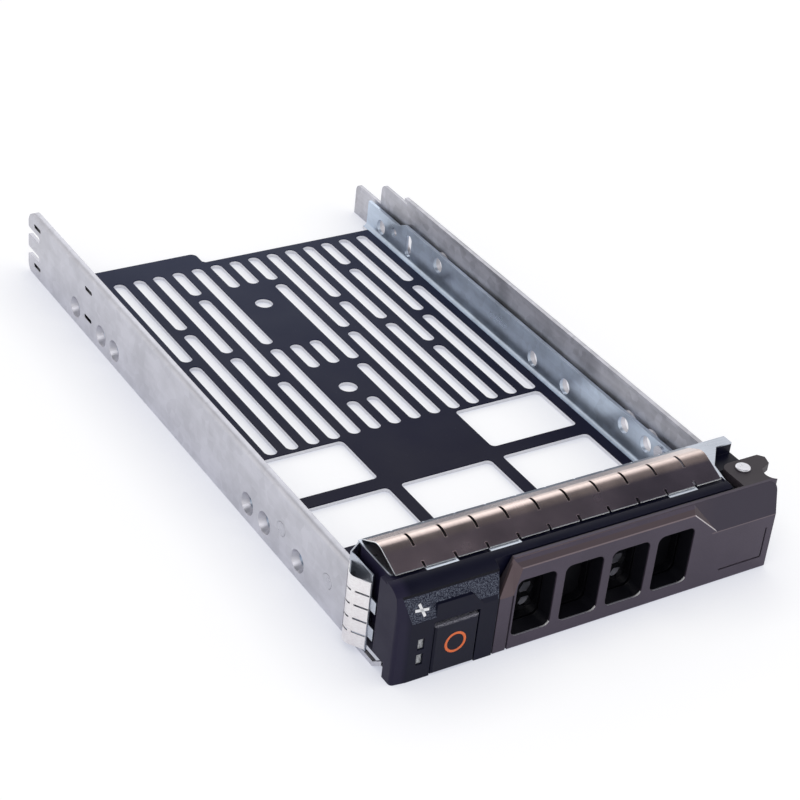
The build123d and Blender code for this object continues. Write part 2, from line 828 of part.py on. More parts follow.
# Handle: a lever with a raised panel, four vents, two ears, a claw and a latch hook
with BuildPart() as handle:
    extrude(handle_outline(front_y), amount=-handle_t)
    lean_top = (handle_top + fit - panel_low) * tilt
    with BuildSketch(side_plane(handle_left_x - fit)):
        with BuildLine():
            Polyline(
                (front_y - fit, panel_low), (front_y, panel_low), (front_y + lean_top, handle_top + fit),
                (front_y - fit, handle_top + fit), close=True,
            )
        make_face()
    extrude(amount=overall_width, mode=Mode.SUBTRACT)
    panel_top = handle_top - panel_top_drop
    with BuildSketch(front_plane(front_y)):
        with BuildLine():
            Polyline(
                (-half + panel_inset, panel_low - sheet), (-half + panel_inset, panel_low),
                (-half + panel_top_inset, panel_top),
                (half - panel_right_inset, panel_top), (half - panel_drop_inset, panel_low),
                (half - panel_drop_inset, panel_low - sheet), close=True,
            )
        make_face()
    extrude(amount=-panel_top_drop, taper=-panel_taper)
    # The back is hollowed round the vents, which keep their collars
    back_y = front_y + handle_t
    with BuildSketch(front_plane(back_y)):
        with Locations(((pocket_left + pocket_right) / 2, vent_mid_z)):
            hollow_height = vent_height + 2 * collar_t - fit
            RectangleRounded(pocket_right - pocket_left - sheet, hollow_height, vent_radius)
    extrude(amount=back_pocket_t, mode=Mode.SUBTRACT)
    extrude(vent_face(back_y + collar_depth, collar_t), amount=collar_depth + back_pocket_t)
    extrude(vent_face(front_y, 0), amount=-(handle_t + collar_depth), mode=Mode.SUBTRACT)
    # Moulded lines: round the right end of the panel, and under its left end
    with BuildSketch(front_plane(front_y)):
        with Locations(((groove_left_x + groove_right_x) / 2, groove_low)):
            Rectangle(groove_right_x - groove_left_x, groove_width)
        with Locations((groove_right_x, (groove_low + groove_high) / 2)):
            Rectangle(groove_width, groove_high - groove_low)
        with Locations((-half + panel_inset, panel_low / 2)):
            Rectangle(groove_width, panel_low)
    extrude(amount=-groove_depth, mode=Mode.SUBTRACT)
    # Upper ear with the claw, lower ear, and the bores for the pin
    with BuildSketch(Plane.XY.offset(handle_top - ear_t)):
        with BuildLine():
            left_x = pivot_x - ear_left
            right_x = pivot_x + notch_x
            back = pivot_y + ear_back
            Polyline(
                (right_x, back_y - sheet), (left_x, back_y - sheet), (left_x, back),
                (pivot_x + claw_shoulder_x, back), (pivot_x + claw_reach, pivot_y + claw_y),
                (pivot_x + claw_front_x, pivot_y + claw_front_y), (right_x, pivot_y + notch_y),
            )
            ThreePointArc(
                (right_x, pivot_y + notch_y), (pivot_x + notch_deep_x, pivot_y + notch_deep_y),
                (right_x, back_y - sheet),
            )
        make_face()
        left_ends = vertices().filter_by_position(Axis.X, left_x - fit, left_x + fit)
        fillet(left_ends.sort_by(Axis.Y)[-1], ear_corner)
    extrude(amount=ear_t)
    with BuildSketch(Plane.XY.offset(lower_ear_z)):
        with Locations((pivot_x, pivot_y)):
            Circle(lower_ear_r)
        with Locations((pivot_x + (lower_ear_reach - lower_ear_r) / 2, (pivot_y + back_y - sheet) / 2)):
            Rectangle(lower_ear_reach + lower_ear_r, pivot_y - back_y + sheet)
    extrude(amount=ear_t)
    with Locations((pivot_x, pivot_y, 0)):
        Cylinder(pin_r + running, bezel_height, align=seat, mode=Mode.SUBTRACT)
    # Latch hook on the back of the left end
    hook_x = handle_left_x + hook_nose
    with BuildSketch(Plane.XY.offset(hook_low)):
        with BuildLine():
            nose_x = handle_left_x - fit
            tip_y = back_y + hook_reach
            Polyline(
                (hook_x, back_y - sheet), (hook_x + hook_width, back_y - sheet), (hook_x + hook_width, tip_y),
                (hook_x, tip_y), (nose_x, tip_y - hook_nose), (hook_x, tip_y - hook_nose), close=True,
            )
        make_face()
    extrude(amount=hook_high - hook_low)
handle.part.label = "handle"
export_step(handle.part, "parts/handle.step")

# Pivot pin: held in the bezel's post, with a round head over the upper ear
with BuildPart() as pivot_pin:
    with Locations((pivot_x, pivot_y, handle_bottom)):
        Cylinder(pin_r, handle_top + fit - handle_bottom, align=seat)
    with Locations((pivot_x, pivot_y, handle_top + fit)):
        Cylinder(pin_head_r, pin_head_t, align=seat)
    fillet(pivot_pin.faces().sort_by(Axis.Z)[-1].edges(), pin_head_t / 2)
pivot_pin.part.label = "pivot_pin"
export_step(pivot_pin.part, "parts/pivot_pin.step")

# Pin clip: open ring that holds the pin under the lower ear
with BuildPart() as pin_clip:
    with BuildSketch(Plane.XY.offset(handle_bottom + fit)):
        with Locations((pivot_x, pivot_y)):
            Circle(clip_r)
            Circle(pin_r + running, mode=Mode.SUBTRACT)
        with Locations((pivot_x, pivot_y + clip_r / 2)):
            Rectangle(clip_gap, clip_r, mode=Mode.SUBTRACT)
    extrude(amount=clip_t)
pin_clip.part.label = "pin_clip"
export_step(pin_clip.part, "parts/pin_clip.step")

# Torsion spring: coils between the post and the upper ear, one leg against the bezel
with BuildPart() as torsion_spring:
    coil_z = post_high + torsion_wire_r + running
    with BuildLine() as coil:
        Helix(torsion_pitch, torsion_pitch * torsion_turns, torsion_r, center=(pivot_x, pivot_y, coil_z))
    with BuildSketch(Plane(origin=coil.line @ 0, z_dir=coil.line % 0)):
        RegularPolygon(torsion_wire_r, wire_sides)
    sweep()
    with Locations(Location(coil.line @ 0, (-90, 0, 0))):
        Cylinder(torsion_wire_r, ear_zone_back - fit, align=seat)
torsion_spring.part.label = "torsion_spring"
export_step(torsion_spring.part, "parts/torsion_spring.step")

# Release button: hollow cap with a guide stem and a latch arm
with BuildPart() as release_button:
    cap_y = front_y - button_proud
    button_mid = (button_low + button_high) / 2
    with BuildSketch(front_plane(cap_y)):
        with Locations((button_centre_x, button_mid)):
            Rectangle(button_width, button_high - button_low)
    extrude(amount=-button_depth)
    chamfer(release_button.faces().sort_by(Axis.Y)[0].edges(), button_bevel)
    with BuildSketch(front_plane(cap_y + button_wall)):
        with Locations((button_centre_x, button_mid)):
            Rectangle(button_width - 2 * button_wall, button_high - button_low - 2 * button_wall)
    extrude(amount=-button_depth, mode=Mode.SUBTRACT)
    with BuildSketch(front_plane(cap_y + button_wall)):
        with Locations((button_centre_x, ring_centre_z)):
            Circle(stem_r)
    extrude(amount=-stem_length)
    arm_left = button_centre_x + button_width / 2 - button_wall
    arm_right = handle_left_x - 2 * seam
    with BuildSketch(front_plane(cap_y + arm_start)):
        with Locations(((arm_left + arm_right) / 2, hook_mid)):
            Rectangle(arm_right - arm_left, hook_high - hook_low)
    extrude(amount=-arm_t)
    with BuildSketch(front_plane(cap_y)):
        with Locations((button_centre_x, ring_centre_z)):
            Circle(ring_r + running)
            Circle(ring_r - ring_width - running, mode=Mode.SUBTRACT)
    extrude(amount=-ring_t, mode=Mode.SUBTRACT)
release_button.part.label = "release_button"
export_step(release_button.part, "parts/release_button.step")

# Button ring: coloured inlay in the button's face
with BuildPart() as button_ring:
    with BuildSketch(front_plane(cap_y)):
        with Locations((button_centre_x, ring_centre_z)):
            Circle(ring_r)
            Circle(ring_r - ring_width, mode=Mode.SUBTRACT)
    extrude(amount=-ring_t)
button_ring.part.label = "button_ring"
export_step(button_ring.part, "parts/button_ring.step")

# Button spring: coils round the stem inside the cap
with BuildPart() as button_spring:
    coil_start = cap_y + button_wall + coil_wire_r
    coil_end = front_y + button_well - coil_wire_r - button_travel - fit
    with BuildLine() as coil:
        Helix(
            (coil_end - coil_start) / coil_turns, coil_end - coil_start, coil_r,
            center=(button_centre_x, coil_start, ring_centre_z), direction=(0, 1, 0),
        )
    with BuildSketch(Plane(origin=coil.line @ 0, z_dir=coil.line % 0)):
        RegularPolygon(coil_wire_r, wire_sides)
    sweep()
button_spring.part.label = "button_spring"
export_step(button_spring.part, "parts/button_spring.step")

# Bezel screws: countersunk in the tray's tongue, driven up into the bezel
with BuildPart() as bezel_screws:
    for x in screw_xs:
        with Locations((x, shoulder_y - screw_back, 0)):
            Cone(screw_head_r, screw_r, sheet, align=seat)
            Cylinder(screw_r, screw_length, align=seat)
            Box(cross_length, cross_width, cross_depth, align=seat, mode=Mode.SUBTRACT)
            Box(cross_width, cross_length, cross_depth, align=seat, mode=Mode.SUBTRACT)
bezel_screws.part.label = "bezel_screws"
export_step(bezel_screws.part, "parts/bezel_screws.step")

# Shield bracket: bent steel plate over the bezel, with a rear wall, a left wall and clip tongues
with BuildPart() as shield_bracket:
    plate_left = side_x
    plate_right = rail_in
    plate_rear = shoulder_y + fit
    edge_y = front_y + deck_start + plate_front
    with BuildSketch(Plane.XY.offset(deck_z)):
        with BuildLine():
            Polyline(
                (plate_left, plate_rear), (plate_right, plate_rear), (plate_right, pivot_y + cut_near_y),
                (pivot_x + cut_near_x, pivot_y + cut_near_y), (pivot_x + cut_mid_x, pivot_y + cut_mid_y),
                (pivot_x + cut_far_x, pivot_y + cut_far_y), (pivot_x + cut_far_x, edge_y),
                (plate_left, edge_y), close=True,
            )
        make_face()
        for index in plate_tongue_fingers:
            tongue_x = finger_left_x - end_finger_cut + (index + 0.5) * finger_pitch
            with Locations((tongue_x, edge_y - plate_tongue / 2)):
                Rectangle(finger_pitch, plate_tongue)
    extrude(amount=bracket_sheet)
    with BuildSketch(front_plane(shield_y + bracket_sheet)):
        with BuildLine():
            Polyline(
                (-half, bracket_side_low), (plate_right, bracket_side_low), (plate_right, plate_z),
                (plate_left, plate_z), (-half, side_wall_top), close=True,
            )
        make_face()
        with Locations(*[(x, vent_mid_z) for x in vent_xs]):
            hole_height = vent_height - 2 * shield_vent_margin
            RectangleRounded(vent_width, hole_height, vent_radius, mode=Mode.SUBTRACT)
    extrude(amount=bracket_sheet)
    with BuildSketch(side_plane(-half)):
        wall_y = front_y + front_depth - bracket_side_depth
        with Locations(((shield_y + wall_y) / 2, (bracket_side_low + side_wall_top) / 2)):
            Rectangle(shield_y - wall_y, side_wall_top - bracket_side_low)
        for index in (1, 3):
            z = side_gasket_low + (index + 0.5) * side_finger_pitch
            with Locations((wall_y - bracket_tongue / 2, z)):
                Rectangle(bracket_tongue, side_finger_pitch - side_slit)
    extrude(amount=bracket_sheet)
shield_bracket.part.label = "shield_bracket"
export_step(shield_bracket.part, "parts/shield_bracket.step")


def finger_section(plane, rear, run, share, height, radius):
    """Bent section of a finger gasket: it rises from its rear edge over a crest to its front edge."""
    lift = spring_sheet / 2
    with BuildSketch(plane) as section:
        with BuildLine():
            FilletPolyline(
                (rear, lift), (rear - run * share, height), (rear - run, lift),
                radius=radius,
            )
        trace(line_width=spring_sheet)
    return section.sketch


# Top gasket: a row of bent fingers on the bracket's plate
with BuildPart() as top_gasket:
    rear = shoulder_y - gasket_rear
    plane = Plane(origin=(finger_left_x, 0, plate_z + running), x_dir=(0, 1, 0), z_dir=(1, 0, 0))
    section = finger_section(plane, rear, gasket_run, crest_share, crest_height, crest_radius)
    extrude(section, amount=finger_count * finger_pitch - 2 * end_finger_cut)
    cuts = [
        (-gasket_run * (slit_span[0] + slit_span[1]) / 2, gasket_run * (slit_span[1] - slit_span[0])),
        (0, 2 * rear_notch),
        (-gasket_run, 2 * front_slit),
    ]
    for index in range(1, finger_count):
        x = finger_left_x + index * finger_pitch - end_finger_cut
        for place, length in cuts:
            with Locations((x, rear + place, plate_z + crest_height / 2)):
                Box(finger_slit, length, 2 * crest_height, mode=Mode.SUBTRACT)
top_gasket.part.label = "top_gasket"
export_step(top_gasket.part, "parts/top_gasket.step")

# Side gasket: the same kind of fingers on the bracket's left wall
with BuildPart() as side_gasket:
    rear = shoulder_y - side_gasket_rear
    plane = Plane(origin=(-half - running, 0, side_gasket_low), x_dir=(0, 1, 0), z_dir=(0, 0, 1))
    section = finger_section(
        plane, rear, side_gasket_run, side_crest_share, side_crest_height, side_crest_radius,
    )
    extrude(section, amount=side_finger_count * side_finger_pitch)
    for index in range(1, side_finger_count):
        z = side_gasket_low + index * side_finger_pitch
        slit_start, slit_end = (side_gasket_run * share for share in side_slit_span)
        with Locations((-half, rear - (slit_start + slit_end) / 2, z)):
            Box(4 * side_crest_height, slit_end - slit_start, side_slit, mode=Mode.SUBTRACT)
        with Locations((-half, rear - side_gasket_run + front_slit, z)):
            Box(4 * side_crest_height, 2 * front_slit, side_slit, mode=Mode.SUBTRACT)
side_gasket.part.label = "side_gasket"
export_step(side_gasket.part, "parts/side_gasket.step")
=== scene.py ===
"""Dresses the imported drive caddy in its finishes, prints its plus sign and sets its studio."""

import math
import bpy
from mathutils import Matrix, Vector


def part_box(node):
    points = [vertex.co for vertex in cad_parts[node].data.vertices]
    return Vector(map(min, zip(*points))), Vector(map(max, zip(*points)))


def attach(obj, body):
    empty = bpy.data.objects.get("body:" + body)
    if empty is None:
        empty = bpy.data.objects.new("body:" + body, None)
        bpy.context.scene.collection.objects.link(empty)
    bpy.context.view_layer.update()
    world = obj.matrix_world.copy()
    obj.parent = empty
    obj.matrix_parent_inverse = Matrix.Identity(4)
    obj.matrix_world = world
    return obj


bl_info = {
    "name": "Hot swap drive caddy",
    "version": (1, 0, 0),
    "blender": (4, 5, 0),
    "location": "View3D > Sidebar > Caddy",
    "description": "Finishes, printed plus sign and studio of a hot swap drive caddy",
    "category": "Object",
}

import bpy
from mathutils import Matrix, Vector

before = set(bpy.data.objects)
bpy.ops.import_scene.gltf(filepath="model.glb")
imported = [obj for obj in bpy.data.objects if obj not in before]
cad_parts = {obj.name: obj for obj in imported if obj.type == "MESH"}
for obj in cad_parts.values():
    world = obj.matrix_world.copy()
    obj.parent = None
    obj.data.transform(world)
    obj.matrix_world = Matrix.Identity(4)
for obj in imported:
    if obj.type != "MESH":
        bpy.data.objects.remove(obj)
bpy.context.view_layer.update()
MM = 0.001

# Places read from the frame, in metres
FRONT_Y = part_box("bezel")[0].y
LEFT_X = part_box("left_rail")[0].x
RAIL_REAR_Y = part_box("left_rail")[1].y
CUT_EDGE_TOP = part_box("tray")[0].z + 1.3 * MM
BUTTON_LOW, BUTTON_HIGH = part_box("release_button")
GASKET_LOW, GASKET_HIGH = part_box("top_gasket")

# Middles of the left rail's slits, in millimetres from its rear end and bottom edge, and half a slit's size
RAIL_SLITS = ((41.15, 5.6), (41.15, 14.4), (6.25, 3.4), (6.25, 15.9))
SLIT_REACH_Y = 2.9 * MM
SLIT_REACH_Z = 0.8 * MM

# The bezel's regions, in metres: depths from its front face, heights from the start of its slope
GRAIN_HEIGHTS = (0.15 * MM, 7.4 * MM)
GRAIN_DEPTHS = (-0.12 * MM, 0.35 * MM)  # in front of the slope and behind it
GRAIN_INSET = 3.9 * MM
GRAIN_SLANT = 0.33
HOOD_TOP = 1.3 * MM
CROWN_SHADOW_HEIGHTS = (6.7 * MM, 7.4 * MM)
WELL_DEPTHS = (9.3 * MM, 19.5 * MM)
WELL_HEIGHTS = (-13 * MM, 4 * MM)
VENT_ROOM_DEPTH = 1.5 * MM
VENT_ROOM_ENDS = (-24 * MM, 30 * MM)
VENT_ROOM_HEIGHTS = (-14.5 * MM, 4.5 * MM)
SIDE_LIT_FADE = (2.2 * MM, 4.0 * MM)

# The handle's regions, in metres: depths from the bezel's front face, heights from the rails' bottom edges
LEANING_HEIGHTS = (15.8 * MM, 25 * MM)
BAND_LEAN = 1.96 * MM
PAINT_DEPTH = 0.8 * MM
VENT_ENDS = (-22.7 * MM, 28.4 * MM)
VENT_TOP = 19.7 * MM
VENT_DEPTH = 0.45 * MM
VENT_PITCH = 13.3 * MM
FIRST_GLINT_X = -22.55 * MM
BAND_HEIGHTS = (15.5 * MM, 24 * MM)
CORNER_END = 36 * MM
EDGE_DEPTH = 0.22 * MM
CREASE_HEIGHTS = (15.6 * MM, 15.9 * MM)
CREASE_START = 34 * MM
RIM_TOP = 15 * MM
RIM_END = 29 * MM

# Tones of the sheet and the film: painted shade in the rail's slits, paler cut edges, a painted sheen towards
# the film's rear, and dust
# painted shade seen in the left rail's slits
SLIT_SHADE = (0.02, 0.02, 0.025)
CUT_ZINC = (0.80, 0.80, 0.83)
# painted sheen on the film towards its rear
FILM_REAR_SHEEN = (0.026, 0.034, 0.074)
FILM_DUST = (0.11, 0.11, 0.13)
FILM_SHEEN_FADE = (-30 * MM, 100 * MM)  # along Y

# Steels. The top strip's crest is a painted reflection that starts and changes its tone at shares of the
# strip's depth; its slope is a painted reflection that is lighter to the left, and its sheared edges a painted
# highlight
CREST_REFLECTIONS = (
    (0.41, (0.68, 0.54, 0.49)),
    (0.58, (0.78, 0.66, 0.62)),
    (0.86, (0.78, 0.68, 0.65)),
    (0.91, (0.22, 0.26, 0.32)),
)
CREST_REFLECTION_START = (0.33, 0.41)
SLOPE_LEFT_REFLECTION = (0.60, 0.47, 0.49)
SLOPE_REFLECTION_FADE = (-45 * MM, 20 * MM)  # along X
DULL_PATCH = (0.80, 0.80, 0.80)
WHITE = (1.0, 1.0, 1.0)
SHEARED_EDGE_HIGHLIGHT = (0.93, 0.95, 0.96)
SIDE_GASKET_STEEL = (0.96, 0.91, 0.93)
PIN_STEEL = (0.80, 0.80, 0.85)
CLIP_STEEL = (0.30, 0.30, 0.32)
SPRING_STEEL = (0.50, 0.50, 0.52)
SCREW_STEEL = (0.55, 0.56, 0.58)

# Tones of the black mouldings and the light pipes, with a speckled painted highlight on the button's top edge,
# painted highlights on the grain, painted shade behind the vents, and painted light in the well and on the
# bezel's left side
GRILLE_BLACK = (0.005, 0.005, 0.007)
# speckled painted highlight, with rubbing, on the button's top edge
RUBBED_EDGE_HIGHLIGHT = (0.24, 0.24, 0.28)
# painted highlight on the tops of the grain's pebbles
PEBBLE_HIGHLIGHT = (0.14, 0.16, 0.21)
# painted shade behind the handle's vents
VENT_ROOM_SHADE = (0.004, 0.004, 0.006)
# painted light in the well, seen through the grille
WELL_PAINTED_LIGHT = (0.24, 0.24, 0.28)
# painted light on the bezel's left side
BEZEL_SIDE_LIT = (0.016, 0.014, 0.036)
PIPE_SHADE = (0.20, 0.21, 0.22)
PIPE_FROST = (0.52, 0.54, 0.56)

# Tones of the handle: painted light on its upward band, painted highlights on its ledge, crease, corner and
# vent rims, black moulding behind its paint, and painted shade in its vents
BAND_LIT_LEFT = (0.120, 0.088, 0.096)
BAND_LIT_RIGHT = (0.050, 0.043, 0.062)
BAND_LIT_FADE = (-10 * MM, 35 * MM)  # along X
# painted highlights on the ledge, the crease and the panel's top edge
LEDGE_HIGHLIGHT = (0.080, 0.060, 0.069)
CREASE_HIGHLIGHT = (0.20, 0.16, 0.175)
CORNER_GLEAM = (0.62, 0.58, 0.60)
HANDLE_BACK = (0.046, 0.038, 0.046)
# painted shade inside the handle's vents
HANDLE_VENT_SHADE = (0.005, 0.005, 0.008)
# painted highlight on the vents' lower rims
RIM_HIGHLIGHT = (0.34, 0.34, 0.38)

# The studio
SENSOR_WIDTH = 36.0
FLOOR_DROP = 0.1 * MM
SHADOW_REACH = 22 * MM
PAPER_TONES = ((0.86, 0.87, 0.90), (0.90, 0.905, 0.92))
SHADOW_TONES = ((0.58, 0.60, 0.69), (0.99, 0.99, 1.0))
ROOM_TONES = ((1.0, 0.985, 0.98), (0.10, 0.105, 0.125))
LAMPS = (
    # name, place, point that it lights, size, power in watts and colour
    ("key_lamp", (-0.55, -0.75, 1.05), (0, -0.02, 0), 0.9, 3.6, WHITE),
    ("back_lamp", (0.35, 0.95, 0.95), (0, -0.02, 0), 1.1, 2.6, (0.96, 0.98, 1.0)),
    ("side_lamp", (1.05, -0.45, 0.6), (0, -0.05, 0), 0.7, 1.3, (1.0, 0.97, 0.97)),
)


class CaddyColours(bpy.types.PropertyGroup):
    """Colours of the caddy's finishes."""

    zinc: bpy.props.FloatVectorProperty(
        name="Zinc", description="Plated sheet of the rails", subtype="COLOR", default=(0.61, 0.61, 0.66)
    )
    tray: bpy.props.FloatVectorProperty(
        name="Tray", description="Plated sheet of the tray", subtype="COLOR", default=(0.55, 0.63, 0.74)
    )
    film: bpy.props.FloatVectorProperty(
        name="Film", description="Insulating film on the tray's floor", subtype="COLOR",
        default=(0.007, 0.007, 0.026),
    )
    bezel: bpy.props.FloatVectorProperty(
        name="Bezel", description="Black moulding", subtype="COLOR", default=(0.004, 0.0045, 0.016)
    )
    handle: bpy.props.FloatVectorProperty(
        name="Handle", description="Satin charcoal paint", subtype="COLOR", default=(0.075, 0.062, 0.087)
    )
    # The top strip's slope colour: its bronze tint, darkened into a painted dark reflection
    gasket: bpy.props.FloatVectorProperty(
        name="Gasket", description="Slope of the top finger strip", subtype="COLOR",
        default=(0.22, 0.185, 0.225),
    )
    bracket: bpy.props.FloatVectorProperty(
        name="Bracket", description="Bright plated bracket", subtype="COLOR", default=(0.54, 0.58, 0.65)
    )
    ring: bpy.props.FloatVectorProperty(
        name="Ring", description="Inlay of the release button", subtype="COLOR", default=(0.82, 0.16, 0.035)
    )
    mark: bpy.props.FloatVectorProperty(
        name="Mark", description="Printed plus sign", subtype="COLOR", default=(0.86, 0.87, 0.90)
    )


class CaddySizes(bpy.types.PropertyGroup):
    """Sizes of the edges, the plus sign, the bezel's slope and the studio."""

    edge_radius: bpy.props.FloatProperty(
        name="Edge radius", description="Rounding of moulded edges", default=0.22 * MM, unit="LENGTH"
    )
    sheet_edge_radius: bpy.props.FloatProperty(
        name="Sheet edge radius", description="Rounding of sheet-metal edges", default=0.12 * MM, unit="LENGTH"
    )
    plus_width: bpy.props.FloatProperty(
        name="Plus width", description="Length of the plus sign's level bar", default=3.6 * MM, unit="LENGTH"
    )
    plus_rise: bpy.props.FloatProperty(
        name="Plus rise", description="Length of the plus sign's upright bar", default=3.7 * MM, unit="LENGTH"
    )
    plus_stroke: bpy.props.FloatProperty(
        name="Plus stroke", description="Stroke of the plus sign", default=0.7 * MM, unit="LENGTH"
    )
    plus_print: bpy.props.FloatProperty(
        name="Plus print", description="Thickness of the plus sign's print", default=0.04 * MM, unit="LENGTH"
    )
    plus_inset: bpy.props.FloatProperty(
        name="Plus inset", description="Plus sign's distance from the left side", default=6.4 * MM,
        unit="LENGTH",
    )
    plus_height: bpy.props.FloatProperty(
        name="Plus height", description="Height of the plus sign's middle", default=19.25 * MM, unit="LENGTH"
    )
    plus_upright_turn: bpy.props.FloatProperty(
        name="Upright turn", description="Lean of the plus sign's upright bar", default=math.radians(23),
        unit="ROTATION",
    )
    plus_level_turn: bpy.props.FloatProperty(
        name="Level turn", description="Lean of the plus sign's level bar", default=math.radians(-6),
        unit="ROTATION",
    )
    slope_start: bpy.props.FloatProperty(
        name="Slope start", description="Height where the bezel's front leans back", default=16.2 * MM,
        unit="LENGTH",
    )
    slope_tilt: bpy.props.FloatProperty(
        name="Slope tilt", description="Lean of the bezel's sloped front", default=math.radians(12),
        unit="ROTATION",
    )
    floor_size: bpy.props.FloatProperty(
        name="Floor size", description="Width of the studio floor", default=8.0, unit="LENGTH"
    )
    camera_azimuth: bpy.props.FloatProperty(
        name="Camera azimuth", description="Turn of the view from +Y towards +X", default=math.radians(34.857),
        unit="ROTATION",
    )
    camera_drop: bpy.props.FloatProperty(
        name="Camera drop", description="How far the view looks down", default=math.radians(32.394),
        unit="ROTATION",
    )
    camera_roll: bpy.props.FloatProperty(
        name="Camera roll", description="Roll of the view", default=math.radians(6.468), unit="ROTATION"
    )
    camera_place: bpy.props.FloatVectorProperty(
        name="Camera place", description="Where the camera stands", default=(-0.25975, -0.38800, 0.29891),
        subtype="XYZ", unit="LENGTH",
    )
    camera_lens: bpy.props.FloatProperty(
        name="Camera lens", description="Focal length on a 36 mm sensor, in millimetres", default=93.2
    )


class Link:
    """One socket of a finish's nodes, with arithmetic that adds Math nodes."""

    def __init__(self, finish, socket):
        self.finish = finish
        self.socket = socket

    def math(self, operation, *values):
        return self.finish.node("ShaderNodeMath", {"operation": operation}, values)

    def __add__(self, other):
        return self.math("ADD", self, other)

    def __sub__(self, other):
        return self.math("SUBTRACT", self, other)

    def __rsub__(self, other):
        return self.math("SUBTRACT", other, self)

    def __mul__(self, other):
        return self.math("MULTIPLY", self, other)

    def __gt__(self, other):
        return self.math("GREATER_THAN", self, other)

    def __lt__(self, other):
        return self.math("LESS_THAN", self, other)

    __radd__ = __add__
    __rmul__ = __mul__

    def between(self, low, high):
        """1 where the value lies between two limits, and 0 elsewhere."""
        return (self > low) * (self < high)

    def near(self, middle, reach):
        """1 where the value lies within reach of a middle, and 0 elsewhere."""
        return self.between(middle - reach, middle + reach)

    def fraction(self):
        """The part of the value after the decimal point."""
        return self.math("FRACT", self)


class Finish:
    """A procedural material, or the world, that is built up node by node. Its colours are three numbers."""

    def __init__(self, name, kind="Material"):
        self.kind = kind
        self.owner = getattr(bpy.data, kind.lower() + "s").new(name)
        self.owner.use_nodes = True
        self.tree = self.owner.node_tree
        self.tree.nodes.clear()
        self.place = self.node("ShaderNodeTexCoord", output="Object" if kind == "Material" else "Generated")

    def node(self, kind, settings=None, values=(), output=0):
        """Adds a node, its settings first and then the values or links of its sockets, and gives an output."""
        node = self.tree.nodes.new(kind)
        for key, value in (settings or {}).items():
            if key != "stops":
                setattr(node, key, value)
                continue
            ramp = node.color_ramp
            while len(ramp.elements) < len(value):
                ramp.elements.new(1.0)
            for element, (position, colour) in zip(ramp.elements, value):
                element.position = position
                element.color = (*colour, 1.0)
        pairs = values.items() if isinstance(values, dict) else enumerate(values)
        for key, value in pairs:
            if isinstance(value, Link):
                self.tree.links.new(value.socket, node.inputs[key])
            else:
                node.inputs[key].default_value = value
        return Link(self, node.outputs[output])

    def axis(self, name):
        """The place along one axis, in metres."""
        return self.node("ShaderNodeSeparateXYZ", values=[self.place], output=name)

    def facing(self, name):
        """How far the surface faces along one axis, from -1 to 1."""
        normal = self.node("ShaderNodeTexCoord", output="Normal")
        return self.node("ShaderNodeSeparateXYZ", values=[normal], output=name)

    def noise(self, grain, detail=2.0, stretch=(1, 1, 1)):
        """Noise whose features are about one grain wide, in metres, and stretched along the axes."""
        scale = [1 / share for share in stretch]
        stretched = self.node("ShaderNodeMapping", values={"Vector": self.place, "Scale": scale})
        values = {"Vector": stretched, "Scale": 1 / grain, "Detail": detail}
        return self.node("ShaderNodeTexNoise", values=values, output="Fac")

    def cells(self, size):
        """Random value of each crystal-like cell of the given size, in metres."""
        values = {"Vector": self.place, "Scale": 1 / size}
        colour = self.node("ShaderNodeTexVoronoi", values=values, output="Color")
        return self.node("ShaderNodeSeparateColor", values=[colour], output="Red")

    def ease(self, value, low, high, start=0.0, end=1.0):
        """Maps a value from low..high to start..end, and holds it there outside."""
        values = {"Value": value, "From Min": low, "From Max": high, "To Min": start, "To Max": end}
        return self.node("ShaderNodeMapRange", {"clamp": True}, values)

    def blend(self, first, second, factor, blend_type="MIX"):
        """Mixes two colours, each a link or three numbers."""
        first, second = (tone if isinstance(tone, Link) else (*tone, 1.0) for tone in (first, second))
        settings = {"data_type": "RGBA", "blend_type": blend_type}
        return self.node("ShaderNodeMix", settings, {0: factor, 6: first, 7: second}, output=2)

    def relief(self, height, strength, distance, radius):
        """Normal of a surface with rounded edges and a bump."""
        rounded = self.node("ShaderNodeBevel", {"samples": 6}, {"Radius": radius})
        values = {"Strength": strength, "Distance": distance, "Height": height, "Normal": rounded}
        return self.node("ShaderNodeBump", values=values)

    def surface(self, **values):
        """Ends the finish with one shader, whose sockets are given by name."""
        names = {key.replace("_", " ").title().replace("Ior", "IOR"): value for key, value in values.items()}
        return self.end(self.node("ShaderNodeBsdfPrincipled", values=names))

    def end(self, shader):
        """Links the last shader to the output and gives the material or world."""
        output = self.tree.nodes.new("ShaderNodeOutput" + self.kind)
        self.tree.links.new(shader.socket, output.inputs["Surface"])
        return self.owner


def tint(colour, factor):
    """A colour made lighter or darker by a factor, up to white."""
    return [min(1.0, channel * factor) for channel in colour]


